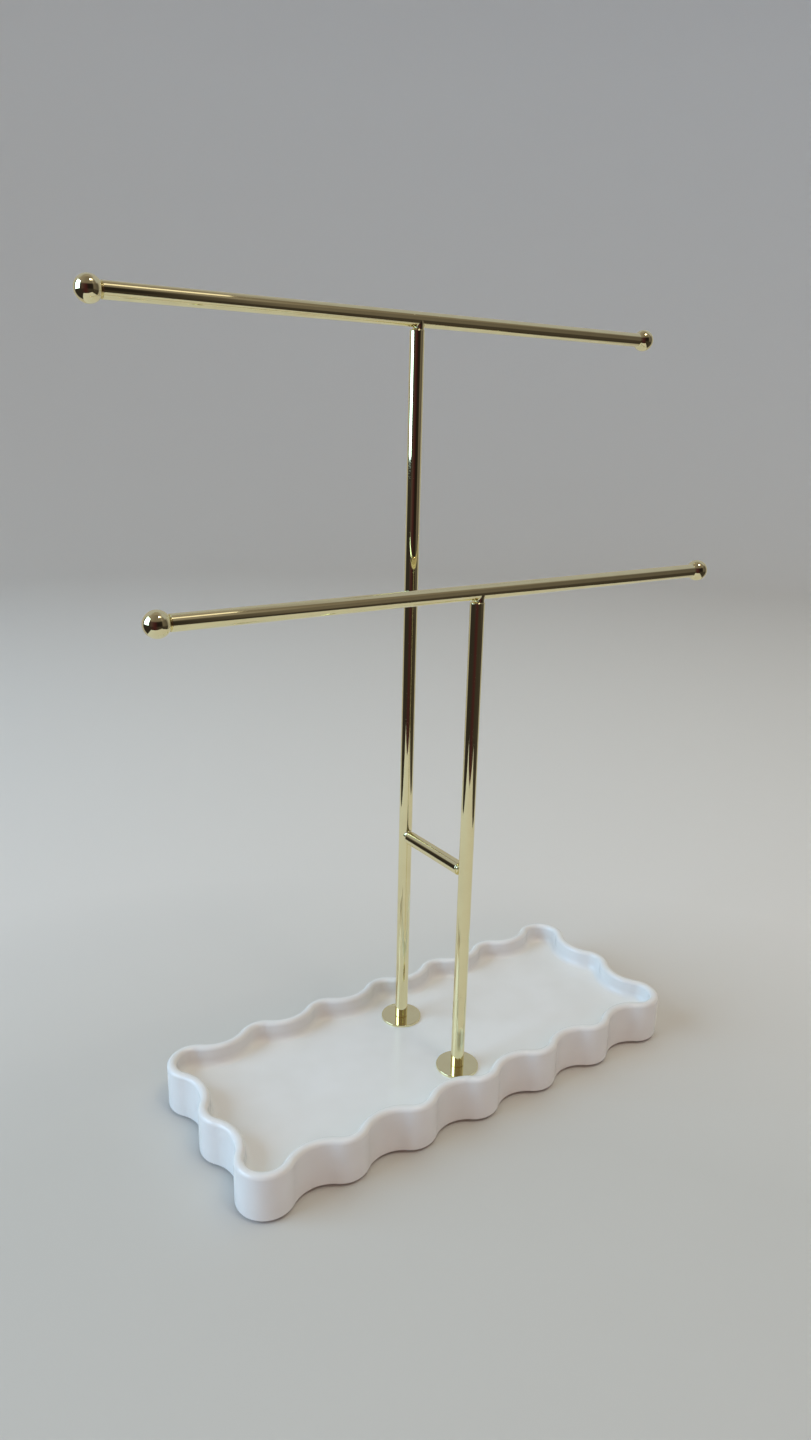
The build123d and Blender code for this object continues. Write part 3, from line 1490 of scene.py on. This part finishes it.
@dataclass
class Studio:
    """Pale floor that runs up into a round backdrop, soft lights, dim surroundings and the camera."""

    camera_place: Point = (-195.3 * MM, -259.6 * MM, 244.4 * MM)
    camera_heading: float = -34.88
    camera_dip: float = 17.29
    camera_roll: float = 1.295
    focal_length: float = 23.92
    sensor_size: float = 36.0
    floor_radius: float = 1.3
    cove_radius: float = 1.0
    cove_steps: int = 24
    wall_height: float = 2.4
    table_near: float = 0.345
    table_far: float = 1.2
    table_width: float = 0.53
    table_lift: float = 0.2 * MM
    table_tone: Colour = (0.74, 0.725, 0.70)

    def camera(self) -> None:
        """Set up the camera at the picture's viewing angle."""
        bpy.ops.object.camera_add()
        camera = bpy.context.object
        camera.name = "picture_camera"
        heading = Matrix.Rotation(math.radians(self.camera_heading), 4, "Z")
        dip = Matrix.Rotation(math.radians(QUARTER - self.camera_dip), 4, "X")
        roll = Matrix.Rotation(math.radians(self.camera_roll), 4, "Z")
        camera.matrix_world = Matrix.Translation(self.camera_place) @ heading @ dip @ roll
        camera.data.sensor_fit = "AUTO"
        camera.data.sensor_width = self.sensor_size
        camera.data.lens = self.focal_length
        camera.data.clip_start = MM
        bpy.context.scene.camera = camera

    def cove(self) -> Object:
        """Turn the floor and its backdrop in one piece.

        Returns:
            The cove, left out of mirror reflections.
        """
        rim = self.floor_radius + self.cove_radius
        cove = (
            Lathe("pale_cove", 0.0, 0.0)
            .to(self.floor_radius, 0.0)
            .round(self.floor_radius, self.cove_radius, QUARTER, self.cove_steps)
            .to(rim, self.wall_height)
            .turn()
        )
        Bench.smooth(cove)
        cove.data.materials.append(Backdrop(self.camera_place).material())
        cove.visible_glossy = False
        return cove

    def table(self) -> Object:
        """Lay the stretch of pale surface that the polished rods mirror.

        Returns:
            The sheet, seen only in reflections.
        """
        Bench.clear()
        bpy.ops.mesh.primitive_plane_add(size=1.0)
        table = bpy.context.object
        table.name = "mirrored_table"
        bpy.ops.object.mode_set(mode="EDIT")
        bpy.ops.mesh.subdivide(number_cuts=4)
        bpy.ops.transform.resize(value=(self.table_width, self.table_near + self.table_far, 1.0))
        bpy.ops.transform.translate(value=(0.0, (self.table_far - self.table_near) / 2, self.table_lift))
        bpy.ops.object.mode_set(mode="OBJECT")
        Bench.place(table, Matrix.Rotation(math.radians(self.camera_heading), 4, "Z"))
        # The mirrored sheet takes the backdrop's painted light too, paler away from the camera.
        table.data.materials.append(Backdrop(self.camera_place, near_tone=self.table_tone).material())
        table.visible_camera = False
        table.visible_diffuse = False
        table.visible_shadow = False
        return table

    def lights(self) -> None:
        """Hang the soft boxes: daylight from the side, a lamp with its glow, and two that only fill."""
        boxes = (
            SoftBox(
                "side_box",
                place=(-1.438, 0.426, 0.88),
                size=(1.18, 1.4),
                brightness=5.2,
                colour=(0.493, 0.747, 1.0),
                aim=(0.0, 0.0, 0.88),
            ),
            SoftBox(
                "top_box",
                place=(0.3, -0.2, 1.6),
                size=(1.2, 1.2),
                brightness=1.41,
                colour=(0.957, 1.0, 0.782),
                shows_in_gloss=False,
            ),
            SoftBox(
                "lamp_box",
                place=(0.08, -0.45, 1.17),
                size=(0.15, 0.15),
                brightness=14.0,
                colour=(1.0, 0.94, 0.80),
                aim=(0.08, 0.0, 0.25),
            ),
            SoftBox(
                "glow_box",
                place=(0.21, -0.42, 1.17),
                size=(0.36, 0.3),
                brightness=0.95,
                colour=(1.0, 0.94, 0.83),
                aim=(0.21, 0.0, 0.25),
            ),
            SoftBox(
                "fill_box",
                place=(-0.5, -1.5, 1.2),
                size=(1.6, 1.2),
                brightness=0.57,
                colour=(1.0, 0.223, 0.076),
                shows_in_gloss=False,
            ),
        )
        for box in boxes:
            box.build()

    def build(self) -> None:
        """Set the stage, the room, the lights and the camera."""
        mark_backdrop(self.cove(), self.table())
        Room(self.camera_heading).build()
        self.lights()
        self.camera()
        bpy.context.scene.view_settings.view_transform = "Standard"


def main() -> None:
    """Load the frame, build each sub-assembly in order, set the studio and work out both sizes."""
    logging.basicConfig(level=logging.INFO, format="%(name)s: %(message)s")
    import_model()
    cad_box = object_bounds()
    assemblies = (ScallopedDish(), RodFrame(), WeldFillets(), Knobs(), BaseDiscs(), Fixings(), FootPads())
    for assembly in assemblies:
        for piece in assembly.build():
            LOG.info("%s: %s, %d faces", type(assembly).__name__, piece.name, len(piece.data.polygons))
    Studio().build()
    boxes = {"cad": cad_box, "visual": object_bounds()}
    {name: [list(corner) for corner in box] for name, box in boxes.items()}


if __name__ == "__main__":
    main()
